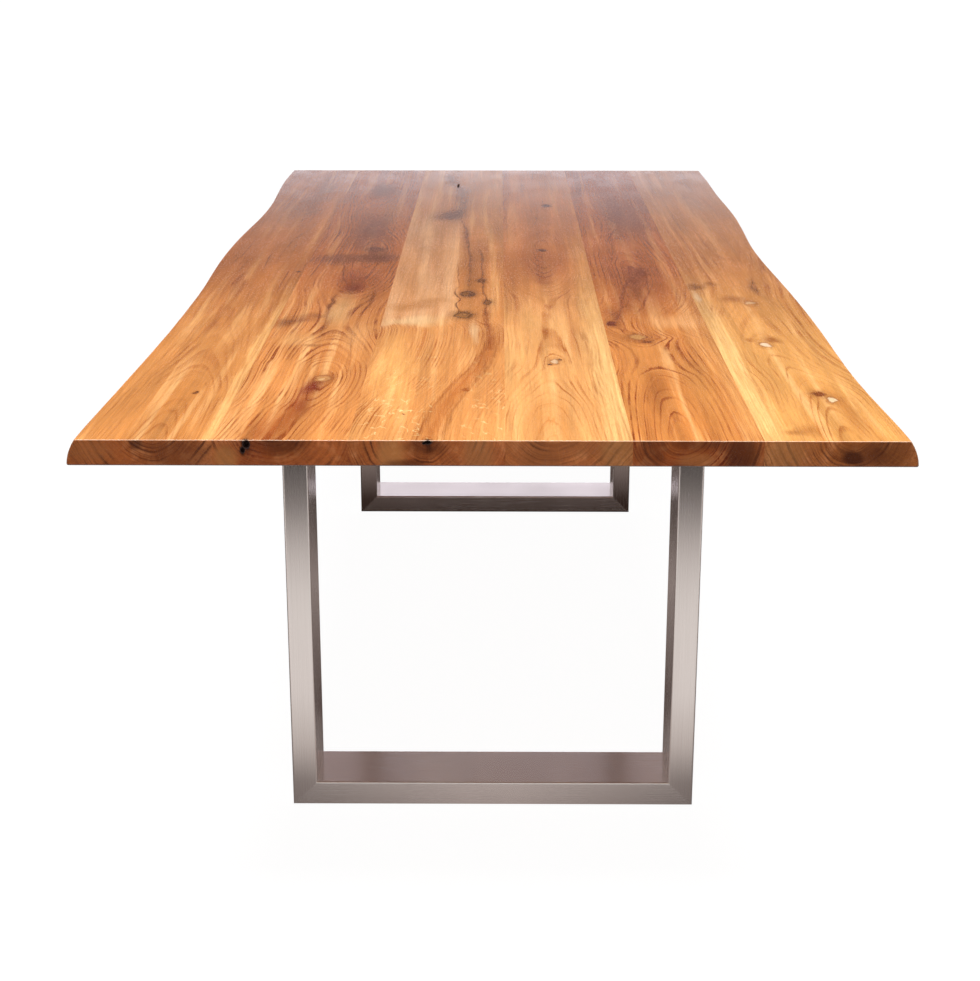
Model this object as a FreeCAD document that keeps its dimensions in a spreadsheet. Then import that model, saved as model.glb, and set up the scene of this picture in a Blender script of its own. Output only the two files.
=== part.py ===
import FreeCAD, Part
import os
import re
import Sketcher

# A plank table: six solid boards glued edge to edge, the outer two with the tree's own edge left on,
# carried by two welded U frames of flat rectangular tube. Millimetres.
# X runs across the table, Y along it and Z up; the origin is on the floor under the table's centre.

SIZES = {
    # the top as a whole
    "table_height": 760,
    "table_length": 2600,
    "top_thickness": 35,
    "top_arris_radius": 1.5,
    "under_arris_radius": 2.5,
    "corner_radius": 2,
    # the six boards, from left to right, each measured at its widest
    "plank_width_1": 189,
    "plank_width_2": 175,
    "plank_width_3": 203,
    "plank_width_4": 164,
    "plank_width_5": 169,
    "plank_width_6": 200,
    # the natural edge: how far it wanders in and out, and how far it leans in towards the top
    "edge_wander_depth": 17,
    "edge_lean_width": 12,
    # loose tenons in the glue joints
    "tenon_length": 50,
    "tenon_width": 40,
    "tenon_thickness": 8,
    "tenon_height": 19,
    "glue_gap": 0.15,
    # steel channels let into the underside
    "bar_length": 900,
    "bar_width": 50,
    "bar_depth": 12,
    "bar_wall": 3,
    "bar_setback": 230,
    "bar_side_gap": 0.5,
    "bar_end_gap": 6,
    # wood screws that hold the channels
    "screw_columns": 6,
    "screw_end_inset": 25,
    "screw_diameter": 5,
    "screw_head_diameter": 10,
    "screw_head_height": 3,
    "screw_tip_length": 6,
    "screw_tip_diameter": 1.2,
    "screw_cover_thickness": 6,
    "screw_gap": 0.1,
    "screw_slot_length": 12,
    "screw_slot_width": 6,
    # the frames and their tube
    "frame_width": 658,
    "frame_setback": 465,
    "tube_face": 40,
    "tube_depth": 120,
    "tube_wall": 2.5,
    "tube_radius": 3.5,
    # the plate across the top of each frame
    "plate_thickness": 8,
    "plate_corner_radius": 3.5,
    "slot_length": 22,
    "slot_width": 9,
    # bolts, washers and threaded inserts that hold the top
    "bolt_columns": 4,
    "bolt_rows": 2,
    "bolt_end_inset": 89,
    "bolt_row_inset": 25,
    "bolt_diameter": 8,
    "bolt_reach_length": 15,
    "bolt_head_across_flats": 13,
    "bolt_head_height": 5.3,
    "bolt_gap": 0.1,
    "washer_diameter": 24,
    "washer_thickness": 2,
    "washer_gap": 0.25,
    "insert_diameter": 12,
    "insert_length": 20,
    "insert_gap": 0.1,
    "insert_end_gap": 1,
    # levelling glides and the bushes that they screw into
    "glide_inset": 45,
    "pad_diameter": 34,
    "pad_thickness": 2,
    "pad_chamfer": 0.5,
    "stud_diameter": 8,
    "stud_length": 22,
    "stud_chamfer": 1,
    "stud_gap": 0.08,
    "bush_diameter": 16,
    "bush_length": 16,
    "bush_gap": 0.05,
    # how far a cutter runs past what it cuts
    "overrun": 5,
}

# How far in the natural edge stands at even steps along the table, from the near end to the far end,
# as shares of edge_wander_depth.
LEFT_EDGE_SHARES = (0, 0.24, 0.53, 0.76, 0.82, 0.71, 0.32, 0.18, 0.44, 0.91, 1, 0.59, 0.21, 0.29)
RIGHT_EDGE_SHARES = (0, 0.41, 0.65, 0.47, 0.41, 0.56, 0.85, 0.97, 0.59, 0.15, 0.15, 0.26, 0.12, 0.21)
# Levels of the sections through the natural edge, and how much of edge_lean_width each has, from below.
LEVEL_SHARES = (0, 0.25, 0.5, 0.75, 1)
LEAN_SHARES = (0, 0.06, 0.25, 0.56, 1)
# A hexagon's corner radius as a share of its width across flats.
HEXAGON_SHARE = 3 ** -0.5

doc = FreeCAD.newDocument("plank_table")
sheet = doc.addObject("Spreadsheet::Sheet", "Sizes")
for row, (alias, size) in enumerate(SIZES.items(), start=1):
    sheet.set(f"A{row}", alias)
    sheet.set(f"B{row}", str(size))
    sheet.setAlias(f"B{row}", alias)
doc.recompute()

nodes = []


def formula(text):
    return re.sub(r"[a-z]\w*", r"Sizes.\g<0>", str(text))


def value(text):
    return float(sheet.evalExpression(formula(text)))


def bind(thing, formulas):
    for name, text in formulas.items():
        thing.setExpression(name, formula(text))


def place(thing, x, y, z):
    bind(thing, {"Placement.Base.x": x, "Placement.Base.y": y, "Placement.Base.z": z})


def node(thing, label):
    thing.Label = label
    nodes.append(thing)
    return thing


def box(name, length, width, height, x, y, z):
    made = doc.addObject("Part::Box", name)
    bind(made, {"Length": length, "Width": width, "Height": height})
    place(made, x, y, z)
    return made


def compound(name, links):
    made = doc.addObject("Part::Compound", name)
    made.Links = links
    return made


def cut(name, base, tool):
    made = doc.addObject("Part::Cut", name)
    made.Base = base
    made.Tool = tool
    return made


def new_body(name):
    body = doc.addObject("PartDesign::Body", name)
    body.AllowCompound = True
    return body


def origin_feature(body, role):
    return next(feature for feature in body.Origin.OriginFeatures if feature.Role == role)


def sketch_on(body, role, name):
    sketch = body.newObject("Sketcher::SketchObject", f"{body.Name}_{name}")
    sketch.AttachmentSupport = [(origin_feature(body, role), "")]
    sketch.MapMode = "FlatFace"
    return sketch


def dimension(sketch, kind, place_in_sketch, text):
    constraint = Sketcher.Constraint(kind, *place_in_sketch, value(text))
    index = sketch.addConstraint(constraint)
    sketch.setExpression(f"Constraints[{index}]", formula(text))


def polygon(sketch, corners):
    # straight lines through the corners, each corner held at its own x and y
    points = [FreeCAD.Vector(value(x), value(y), 0) for x, y in corners]
    lines = []
    for start, end in zip(points, points[1:] + points[:1]):
        lines.append(sketch.addGeometry(Part.LineSegment(start, end)))
    for line, following in zip(lines, lines[1:] + lines[:1]):
        sketch.addConstraint(Sketcher.Constraint("Coincident", line, 2, following, 1))
    for line, (x, y) in zip(lines, corners):
        dimension(sketch, "DistanceX", (-1, 1, line, 1), x)
        dimension(sketch, "DistanceY", (-1, 1, line, 1), y)


def circle(sketch, radius, x="0", y="0"):
    centre = FreeCAD.Vector(value(x), value(y), 0)
    ring = sketch.addGeometry(Part.Circle(centre, FreeCAD.Vector(0, 0, 1), value(radius)))
    dimension(sketch, "Radius", (ring,), radius)
    dimension(sketch, "DistanceX", (-1, 1, ring, 3), x)
    dimension(sketch, "DistanceY", (-1, 1, ring, 3), y)


def rounded_rectangle(sketch, x_low, x_high, y_low, y_high, radius):
    left, right, low, high, r = (value(text) for text in (x_low, x_high, y_low, y_high, radius))
    quarter = Part.Circle().LastParameter - Part.Circle().FirstParameter
    quarter /= 4
    normal = FreeCAD.Vector(0, 0, 1)
    sides = (
        ((left + r, low), (right - r, low)),
        ((right, low + r), (right, high - r)),
        ((right - r, high), (left + r, high)),
        ((left, high - r), (left, low + r)),
    )
    centres = ((right - r, low + r), (right - r, high - r), (left + r, high - r), (left + r, low + r))
    lines = []
    arcs = []
    for number, ((start, end), centre) in enumerate(zip(sides, centres)):
        line = Part.LineSegment(FreeCAD.Vector(*start, 0), FreeCAD.Vector(*end, 0))
        lines.append(sketch.addGeometry(line))
        round_corner = Part.Circle(FreeCAD.Vector(*centre, 0), normal, r)
        first = (number - 1) * quarter
        arcs.append(sketch.addGeometry(Part.ArcOfCircle(round_corner, first, first + quarter)))
    for number, (line, arc) in enumerate(zip(lines, arcs)):
        following = lines[(number + 1) % len(lines)]
        sketch.addConstraint(Sketcher.Constraint("Tangent", line, 2, arc, 1))
        sketch.addConstraint(Sketcher.Constraint("Tangent", arc, 2, following, 1))
        level = "Horizontal" if number % 2 == 0 else "Vertical"
        sketch.addConstraint(Sketcher.Constraint(level, line))
        if number:
            sketch.addConstraint(Sketcher.Constraint("Equal", arcs[0], arc))
    dimension(sketch, "Radius", (arcs[0],), radius)
    dimension(sketch, "DistanceY", (-1, 1, lines[0], 1), y_low)
    dimension(sketch, "DistanceX", (-1, 1, lines[1], 1), x_high)
    dimension(sketch, "DistanceY", (-1, 1, lines[2], 1), y_high)
    dimension(sketch, "DistanceX", (-1, 1, lines[3], 1), x_low)


def slot(sketch, length, width, x="0"):
    # two straight sides joined by half circles, long in x, centred at x on the sketch's own x axis
    start = f"{x} - ({length} - {width}) / 2"
    end = f"{x} + ({length} - {width}) / 2"
    r = value(f"({width}) / 2")
    normal = FreeCAD.Vector(0, 0, 1)
    quarter = (Part.Circle().LastParameter - Part.Circle().FirstParameter) / 4
    near, far = FreeCAD.Vector(value(start), 0, 0), FreeCAD.Vector(value(end), 0, 0)
    side = FreeCAD.Vector(0, r, 0)
    low = sketch.addGeometry(Part.LineSegment(near - side, far - side))
    right = sketch.addGeometry(Part.ArcOfCircle(Part.Circle(far, normal, r), -quarter, quarter))
    high = sketch.addGeometry(Part.LineSegment(far + side, near + side))
    left = sketch.addGeometry(Part.ArcOfCircle(Part.Circle(near, normal, r), quarter, 3 * quarter))
    for first, second in ((low, right), (right, high), (high, left), (left, low)):
        sketch.addConstraint(Sketcher.Constraint("Tangent", first, 2, second, 1))
    sketch.addConstraint(Sketcher.Constraint("Horizontal", low))
    sketch.addConstraint(Sketcher.Constraint("Equal", right, left))
    dimension(sketch, "Radius", (right,), f"({width}) / 2")
    dimension(sketch, "DistanceX", (-1, 1, right, 3), end)
    dimension(sketch, "DistanceX", (-1, 1, left, 3), start)
    dimension(sketch, "DistanceY", (-1, 1, right, 3), "0")


def pad(body, sketch, length, downward=False):
    made = body.newObject("PartDesign::Pad", f"{sketch.Name}_pad")
    made.Profile = sketch
    made.Reversed = downward
    bind(made, {"Length": length})
    return made


def pocket(body, sketch, length, upward=False):
    made = body.newObject("PartDesign::Pocket", f"{sketch.Name}_pocket")
    made.Profile = sketch
    made.Type = "Length"
    made.Reversed = upward
    bind(made, {"Length": length})
    return made


def mitre_pocket(body, sketch):
    made = body.newObject("PartDesign::Pocket", f"{sketch.Name}_pocket")
    made.Profile = sketch
    made.Type = "Length"
    made.SideType = "Symmetric"
    bind(made, {"Length": "tube_depth + 2 * overrun"})
    return made


def turned(body, name, corners):
    # a profile in the X Z plane turned once round the Z axis
    profile = sketch_on(body, "XZ_Plane", name)
    polygon(profile, corners)
    made = body.newObject("PartDesign::Revolution", f"{profile.Name}_turn")
    made.Profile = profile
    made.ReferenceAxis = (origin_feature(body, "Z_Axis"), [""])
    return made


def repeat(body, features, columns, spacing, rows="0", row_spacing="0"):
    doc.recompute()
    made = body.newObject("PartDesign::LinearPattern", f"{body.Name}_pattern")
    made.Originals = features
    made.Direction = (origin_feature(body, "X_Axis"), [""])
    made.Mode = "Spacing"
    bind(made, {"Offset": spacing})
    made.Occurrences = round(value(columns))
    if value(rows):
        made.Direction2 = (origin_feature(body, "Y_Axis"), [""])
        made.Mode2 = "Spacing"
        bind(made, {"Offset2": row_spacing})
        made.Occurrences2 = round(value(rows))
        # a spacing of -1 means the even offset above
        made.Spacings2 = [-1.0] * (made.Occurrences2 - 1)
    body.Tip = made
    return made


# Levels and places that several pieces share.
UNDERSIDE = "(table_height - top_thickness)"
PLATE_UNDERSIDE = f"({UNDERSIDE} - plate_thickness)"
WIDTHS = [f"plank_width_{number}" for number in range(1, 7)]
TOP_WIDTH = "(" + " + ".join(WIDTHS) + ")"
SEAMS = [f"(-{TOP_WIDTH} / 2 + {' + '.join(WIDTHS[:count])})" for count in range(1, 6)]
FRAME_PLACE = "(table_length / 2 - frame_setback - tube_depth / 2)"
BAR_PLACE = "(table_length / 2 - bar_setback)"
ENDS = {"front": "-", "rear": ""}
BAR_PLACES = {"front": f"-{BAR_PLACE}", "middle": "0", "rear": BAR_PLACE}
# The outermost bolts and screws stand at their insets, and the others are spread evenly between them.
GRID_LEFT = "(bolt_end_inset - frame_width / 2)"
GRID_NEAR = "(bolt_row_inset - tube_depth / 2)"
BOLT_SPACING = "(frame_width - 2 * bolt_end_inset) / (bolt_columns - 1)"
BOLT_ROW_SPACING = "(tube_depth - 2 * bolt_row_inset) / (bolt_rows - 1)"
SCREW_LEFT = "(screw_end_inset - bar_length / 2)"
SCREW_SPACING = "(bar_length - 2 * screw_end_inset) / (screw_columns - 1)"
# A screw stands on the channel's web, head down, and stops short of the top's upper face.
SCREW_LENGTH = "(top_thickness - bar_depth + bar_wall - screw_cover_thickness)"


def bolt_grid(name, end, z):
    body = new_body(name)
    place(body, GRID_LEFT, f"{ENDS[end]}{FRAME_PLACE} + {GRID_NEAR}", z)
    return body


def grid_repeat(body, features):
    return repeat(body, features, "bolt_columns", BOLT_SPACING, "bolt_rows", BOLT_ROW_SPACING)


def screw_row(name, y, z):
    body = new_body(name)
    place(body, SCREW_LEFT, y, z)
    return body


# Loose tenons stand in the glue joints, clear of the channels and of the frames' bolts.
TENON_PLACES = (
    "(table_length / 2 - bar_setback / 2)",
    f"({BAR_PLACE} + {FRAME_PLACE} + tube_depth / 2) / 2",
    f"({FRAME_PLACE} - tube_depth / 2) * 2 / 3",
    f"({FRAME_PLACE} - tube_depth / 2) / 3",
)


def seam_tenons(name, seam, gap):
    body = new_body(name)
    outline = sketch_on(body, "YZ_Plane", "outline")
    for place_along in TENON_PLACES:
        for y in (f"-{place_along}", place_along):
            slot(outline, f"tenon_length + 2 * {gap}", f"tenon_thickness + 2 * {gap}", y)
    block = pad(body, outline, f"tenon_width + 2 * {gap}")
    block.SideType = "Symmetric"
    place(body, seam, "0", f"{UNDERSIDE} + tenon_height")
    return body


# What is milled and drilled out of the boards: mortises, channel grooves, insert sockets and pilot holes.
milling = []
for number, seam in enumerate(SEAMS, start=1):
    milling.append(seam_tenons(f"mortises_{number}", seam, "glue_gap"))
for name, y in BAR_PLACES.items():
    milling.append(box(
        f"{name}_bar_groove",
        "bar_length + 2 * bar_end_gap",
        "bar_width + 2 * bar_side_gap",
        "bar_depth + overrun",
        "-bar_length / 2 - bar_end_gap",
        f"{y} - bar_width / 2 - bar_side_gap",
        f"{UNDERSIDE} - overrun",
    ))
milling = compound("milling", milling)

drilling = []
for end in ENDS:
    sockets = bolt_grid(f"{end}_sockets", end, f"{UNDERSIDE} - overrun")
    hole = sketch_on(sockets, "XY_Plane", "hole")
    circle(hole, "insert_diameter / 2 + insert_gap")
    grid_repeat(sockets, [pad(sockets, hole, "insert_length + insert_end_gap + overrun")])
    drilling.append(sockets)
for name, y in BAR_PLACES.items():
    pilots = screw_row(f"{name}_pilots", y, f"{UNDERSIDE} + bar_depth - bar_wall")
    hole = turned(pilots, "hole", (
        ("0", "0"),
        ("screw_diameter / 2 + screw_gap", "0"),
        ("screw_diameter / 2 + screw_gap", f"{SCREW_LENGTH} - screw_tip_length + screw_gap"),
        ("screw_tip_diameter / 2 + screw_gap", f"{SCREW_LENGTH} + screw_gap"),
        ("0", f"{SCREW_LENGTH} + screw_gap"),
    ))
    repeat(pilots, [hole], "screw_columns", SCREW_SPACING)
    drilling.append(pilots)
drilling = compound("drilling", drilling)


# The boards.
def edge_section(shares, side, level_share, lean_share):
    # one level through an outer board: the natural edge as a spline, closed well inside the board
    half_length = value("table_length / 2")
    overrun = value("overrun")
    outermost = value(f"{TOP_WIDTH} / 2 - {lean_share} * edge_lean_width")
    level = value(f"{UNDERSIDE} + {level_share} * top_thickness")
    step = value("table_length") / (len(shares) - 1)
    stations = [-half_length + number * step for number in range(len(shares))]
    edge = list(zip(stations, shares))
    edge = [(-half_length - overrun, shares[0])] + edge + [(half_length + overrun, shares[-1])]
    points = [
        FreeCAD.Vector(side * (outermost - share * value("edge_wander_depth")), y, level)
        for y, share in edge
    ]
    curve = Part.BSplineCurve()
    curve.interpolate(points)
    inner = [FreeCAD.Vector(0, point.y, level) for point in (points[-1], points[0])]
    corners = [points[-1]] + inner + [points[0]]
    lines = [Part.makeLine(start, end) for start, end in zip(corners, corners[1:])]
    return Part.Wire([curve.toShape()] + lines)


def live_blank(name, shares, side):
    sections = []
    for level_share, lean_share in zip(LEVEL_SHARES, LEAN_SHARES):
        section = doc.addObject("Part::Feature", f"{name}_section_{len(sections)}")
        section.Shape = edge_section(shares, side, level_share, lean_share)
        sections.append(section)
    loft = doc.addObject("Part::Loft", f"{name}_loft")
    loft.Sections = sections
    loft.Solid = True
    return loft


def ease(name, base, rule):
    # rounds the edges of base that rule gives a radius
    doc.recompute()
    made = doc.addObject("Part::Fillet", name)
    made.Base = base
    picked = []
    for number, edge in enumerate(base.Shape.Edges, start=1):
        radius = rule(edge)
        if radius:
            picked.append((number, radius, radius))
    made.Edges = picked
    return made


def arris(edge):
    # the long and end edges of a board's faces are eased, but not the glued seams
    middle = edge.CenterOfMass
    span = edge.BoundBox
    at_top = abs(middle.z - value("table_height")) < value("glue_gap")
    at_bottom = abs(middle.z - value(UNDERSIDE)) < value("glue_gap")
    at_end = abs(abs(middle.y) - value("table_length / 2")) < value("glue_gap")
    outside = abs(middle.x) > value(f"{TOP_WIDTH} / 2 - edge_wander_depth - edge_lean_width - overrun")
    if at_end and span.ZLength > value("top_thickness / 2"):
        return value("corner_radius") if outside else 0
    if at_end or outside:
        return value("top_arris_radius") if at_top else value("under_arris_radius") * at_bottom
    return 0


def plank(label, width, left):
    board = box(f"{label}_board", width, "table_length", "top_thickness",
                left, "-table_length / 2", UNDERSIDE)
    eased = ease(f"{label}_eased", board, arris)
    milled = cut(f"{label}_milled", eased, milling)
    node(cut(f"{label}_drilled", milled, drilling), label)


def live_edge_plank(label, width, shares, side):
    blank = live_blank(label, shares, side)
    x = f"-{TOP_WIDTH} / 2 - overrun" if side < 0 else SEAMS[-1]
    board = box(f"{label}_board", f"{width} + overrun", "table_length", "top_thickness",
                x, "-table_length / 2", UNDERSIDE)
    shaped = doc.addObject("Part::MultiCommon", f"{label}_shaped")
    shaped.Shapes = [board, blank]
    eased = ease(f"{label}_eased", shaped, arris)
    milled = cut(f"{label}_milled", eased, milling)
    node(cut(f"{label}_drilled", milled, drilling), label)


live_edge_plank("left_live_edge_plank", WIDTHS[0], LEFT_EDGE_SHARES, -1)
plank("left_plank", WIDTHS[1], SEAMS[0])
plank("left_centre_plank", WIDTHS[2], SEAMS[1])
plank("right_centre_plank", WIDTHS[3], SEAMS[2])
plank("right_plank", WIDTHS[4], SEAMS[3])
live_edge_plank("right_live_edge_plank", WIDTHS[5], RIGHT_EDGE_SHARES, 1)

# Tenons in the glue joints.
for number, seam in enumerate(SEAMS, start=1):
    node(seam_tenons(f"tenons_{number}", seam, "0"), f"seam_{number}_tenons")


# Channels let into the underside, open side down, with a slot for each screw so that the wood can move.
def stiffener(label, y):
    body = new_body(f"{label}_bar")
    profile = sketch_on(body, "YZ_Plane", "profile")
    polygon(profile, (
        ("-bar_width / 2", "0"),
        ("-bar_width / 2 + bar_wall", "0"),
        ("-bar_width / 2 + bar_wall", "bar_depth - bar_wall"),
        ("bar_width / 2 - bar_wall", "bar_depth - bar_wall"),
        ("bar_width / 2 - bar_wall", "0"),
        ("bar_width / 2", "0"),
        ("bar_width / 2", "bar_depth"),
        ("-bar_width / 2", "bar_depth"),
    ))
    channel = pad(body, profile, "bar_length")
    bind(profile, {"AttachmentOffset.Base.z": "-bar_length / 2"})
    hole = sketch_on(body, "XY_Plane", "hole")
    slot(hole, "screw_slot_length", "screw_slot_width")
    bind(hole, {"AttachmentOffset.Base.x": SCREW_LEFT})
    holes = pocket(body, hole, "bar_depth + overrun", upward=True)
    repeat(body, [holes], "screw_columns", SCREW_SPACING)
    place(body, "0", y, UNDERSIDE)
    node(body, f"{label}_stiffener_bar")

    screws = screw_row(f"{label}_screws", y, f"{UNDERSIDE} + bar_depth - bar_wall")
    screw = turned(screws, "screw", (
        ("0", "-screw_head_height"),
        ("screw_head_diameter / 4", "-screw_head_height"),
        ("screw_head_diameter / 2", "-screw_head_height / 2"),
        ("screw_head_diameter / 2", "0"),
        ("screw_diameter / 2", "0"),
        ("screw_diameter / 2", f"{SCREW_LENGTH} - screw_tip_length"),
        ("screw_tip_diameter / 2", SCREW_LENGTH),
        ("0", SCREW_LENGTH),
    ))
    repeat(screws, [screw], "screw_columns", SCREW_SPACING)
    node(screws, f"{label}_stiffener_screws")


for name, y in BAR_PLACES.items():
    stiffener(name, y)


# The frames. A leg is drawn from its outer bottom corner, x inwards; its foot is mitred to the floor rail.
def tube_section(sketch, x_low, x_high, y_low, y_high):
    rounded_rectangle(sketch, x_low, x_high, y_low, y_high, "tube_radius")
    rounded_rectangle(
        sketch,
        f"{x_low} + tube_wall",
        f"{x_high} - tube_wall",
        f"{y_low} + tube_wall",
        f"{y_high} - tube_wall",
        "tube_radius - tube_wall",
    )


def leg(label, end, side):
    body = new_body(label)
    section = sketch_on(body, "XY_Plane", "section")
    tube_section(section, "0", "tube_face", "-tube_depth / 2", "tube_depth / 2")
    pad(body, section, f"{PLATE_UNDERSIDE} - pad_thickness")
    mitre = sketch_on(body, "XZ_Plane", "mitre")
    polygon(mitre, (
        ("-overrun", "-overrun"),
        ("tube_face + overrun", "-overrun"),
        ("tube_face + overrun", "tube_face + overrun"),
    ))
    mitre_pocket(body, mitre)
    turn = 0 if side == "-" else 180
    body.Placement.Rotation = FreeCAD.Rotation(FreeCAD.Vector(0, 0, 1), turn)
    place(body, f"{side}frame_width / 2", f"{ENDS[end]}{FRAME_PLACE}", "pad_thickness")
    node(body, label)


def floor_rail(label, end):
    body = new_body(label)
    section = sketch_on(body, "YZ_Plane", "section")
    tube_section(section, "-tube_depth / 2", "tube_depth / 2", "0", "tube_face")
    pad(body, section, "frame_width")
    mitres = sketch_on(body, "XZ_Plane", "mitres")
    polygon(mitres, (
        ("-overrun", "-overrun"),
        ("tube_face + overrun", "tube_face + overrun"),
        ("-overrun", "tube_face + overrun"),
    ))
    polygon(mitres, (
        ("frame_width + overrun", "-overrun"),
        ("frame_width - tube_face - overrun", "tube_face + overrun"),
        ("frame_width + overrun", "tube_face + overrun"),
    ))
    mitre_pocket(body, mitres)
    holes = sketch_on(body, "XY_Plane", "holes")
    circle(holes, "bush_diameter / 2 + bush_gap", "glide_inset")
    circle(holes, "bush_diameter / 2 + bush_gap", "frame_width - glide_inset")
    pocket(body, holes, "tube_face / 2", upward=True)
    place(body, "-frame_width / 2", f"{ENDS[end]}{FRAME_PLACE}", "pad_thickness")
    node(body, label)


def mounting_plate(label, end):
    body = new_body(label)
    outline = sketch_on(body, "XY_Plane", "outline")
    rounded_rectangle(outline, "-frame_width / 2", "frame_width / 2", "-tube_depth / 2", "tube_depth / 2",
                      "plate_corner_radius")
    pad(body, outline, "plate_thickness")
    hole = sketch_on(body, "XY_Plane", "slot")
    slot(hole, "slot_length", "slot_width")
    bind(hole, {"AttachmentOffset.Base.x": GRID_LEFT, "AttachmentOffset.Base.y": GRID_NEAR})
    grid_repeat(body, [pocket(body, hole, "plate_thickness + overrun", upward=True)])
    place(body, "0", f"{ENDS[end]}{FRAME_PLACE}", PLATE_UNDERSIDE)
    node(body, label)


# Bolts come up through washer, slot and insert.
def plate_fasteners(end):
    bolts = bolt_grid(f"{end}_bolts", end, f"{PLATE_UNDERSIDE} - washer_thickness")
    shank = sketch_on(bolts, "XY_Plane", "shank")
    circle(shank, "bolt_diameter / 2")
    shank = pad(bolts, shank, "washer_thickness + plate_thickness + bolt_reach_length")
    hexagon = sketch_on(bolts, "XY_Plane", "hexagon")
    flat = "bolt_head_across_flats / 2"
    corner = f"bolt_head_across_flats * {HEXAGON_SHARE}"
    polygon(hexagon, (
        (flat, f"-{corner} / 2"),
        (flat, f"{corner} / 2"),
        ("0", corner),
        (f"-{flat}", f"{corner} / 2"),
        (f"-{flat}", f"-{corner} / 2"),
        ("0", f"-{corner}"),
    ))
    grid_repeat(bolts, [shank, pad(bolts, hexagon, "bolt_head_height", downward=True)])
    node(bolts, f"{end}_plate_bolts")

    washers = bolt_grid(f"{end}_washers", end, f"{PLATE_UNDERSIDE} - washer_thickness")
    ring = sketch_on(washers, "XY_Plane", "ring")
    circle(ring, "washer_diameter / 2")
    circle(ring, "bolt_diameter / 2 + washer_gap")
    grid_repeat(washers, [pad(washers, ring, "washer_thickness")])
    node(washers, f"{end}_plate_washers")

    inserts = bolt_grid(f"{end}_inserts", end, UNDERSIDE)
    ring = sketch_on(inserts, "XY_Plane", "ring")
    circle(ring, "insert_diameter / 2")
    circle(ring, "bolt_diameter / 2 + bolt_gap")
    grid_repeat(inserts, [pad(inserts, ring, "insert_length")])
    node(inserts, f"{end}_plate_inserts")


# Glides: a stud on a pad, screwed up into a bush that is welded into the rail's lower wall.
GLIDE_PLACE = "(frame_width / 2 - glide_inset)"


def glide(label, end, side):
    foot = new_body(f"{label}_pad")
    turned(foot, "disc", (
        ("0", "0"),
        ("pad_diameter / 2 - pad_chamfer", "0"),
        ("pad_diameter / 2", "pad_chamfer"),
        ("pad_diameter / 2", "pad_thickness"),
        ("0", "pad_thickness"),
    ))
    place(foot, f"{side}{GLIDE_PLACE}", f"{ENDS[end]}{FRAME_PLACE}", "0")
    node(foot, f"{label}_pad")
    stud = new_body(f"{label}_stud")
    turned(stud, "stud", (
        ("0", "0"),
        ("stud_diameter / 2", "0"),
        ("stud_diameter / 2", "stud_length - stud_chamfer"),
        ("stud_diameter / 2 - stud_chamfer", "stud_length"),
        ("0", "stud_length"),
    ))
    place(stud, f"{side}{GLIDE_PLACE}", f"{ENDS[end]}{FRAME_PLACE}", "pad_thickness")
    node(stud, f"{label}_stud")


def glide_bushes(label, end):
    body = new_body(label)
    ring = sketch_on(body, "XY_Plane", "rings")
    for x in (f"-{GLIDE_PLACE}", GLIDE_PLACE):
        circle(ring, "bush_diameter / 2", x)
        circle(ring, "stud_diameter / 2 + stud_gap", x)
    pad(body, ring, "bush_length")
    place(body, "0", f"{ENDS[end]}{FRAME_PLACE}", "pad_thickness")
    node(body, label)


SIDES = {"left": "-", "right": ""}
for end in ENDS:
    for name, side in SIDES.items():
        leg(f"{end}_{name}_leg", end, side)
        glide(f"{end}_{name}_glide", end, side)
    floor_rail(f"{end}_floor_rail", end)
    mounting_plate(f"{end}_mounting_plate", end)
    plate_fasteners(end)
    glide_bushes(f"{end}_glide_bushes", end)

doc.recompute()
for thing in doc.Objects:
    if "Invalid" in thing.State or "Error" in thing.State:
        raise RuntimeError(f"{thing.Name} did not build: {thing.State}")
for piece in nodes:
    if piece.Shape.isNull() or not piece.Shape.isValid():
        raise RuntimeError(f"{piece.Label} has no valid shape")
    if not piece.Shape.Solids:
        raise RuntimeError(f"{piece.Label} has no solid")

os.makedirs("parts", exist_ok=True)
for piece in nodes:
    piece.Shape.exportStep(f"parts/{piece.Label}.step")
    print(piece.Label, len(piece.Shape.Solids), "solids", round(piece.Shape.Volume), "mm3")
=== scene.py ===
import math

import bpy
from mathutils import Matrix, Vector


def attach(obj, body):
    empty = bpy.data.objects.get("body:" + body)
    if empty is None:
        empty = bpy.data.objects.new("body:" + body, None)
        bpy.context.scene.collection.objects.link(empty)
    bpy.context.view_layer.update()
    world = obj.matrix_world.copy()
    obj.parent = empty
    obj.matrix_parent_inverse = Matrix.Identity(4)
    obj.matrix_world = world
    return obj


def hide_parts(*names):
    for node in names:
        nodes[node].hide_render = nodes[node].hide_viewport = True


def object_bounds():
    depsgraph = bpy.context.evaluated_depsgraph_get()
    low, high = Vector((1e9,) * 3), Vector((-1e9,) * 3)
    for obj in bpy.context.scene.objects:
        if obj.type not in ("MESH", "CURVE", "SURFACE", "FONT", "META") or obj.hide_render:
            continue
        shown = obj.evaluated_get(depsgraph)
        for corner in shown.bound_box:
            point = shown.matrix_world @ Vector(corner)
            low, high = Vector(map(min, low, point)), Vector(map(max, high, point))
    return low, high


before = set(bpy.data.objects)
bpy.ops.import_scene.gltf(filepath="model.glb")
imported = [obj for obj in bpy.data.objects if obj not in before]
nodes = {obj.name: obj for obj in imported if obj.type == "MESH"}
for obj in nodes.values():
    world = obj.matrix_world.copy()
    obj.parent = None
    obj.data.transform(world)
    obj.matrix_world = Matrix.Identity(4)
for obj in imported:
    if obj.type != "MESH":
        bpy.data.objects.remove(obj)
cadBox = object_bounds()
scene = bpy.context.scene
scene.view_settings.view_transform = "Standard"
halfLength = cadBox[1][1]
topLevel = cadBox[1][2]
white = (1, 1, 1, 1)
print("frame loaded:", len(nodes), "nodes")


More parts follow.
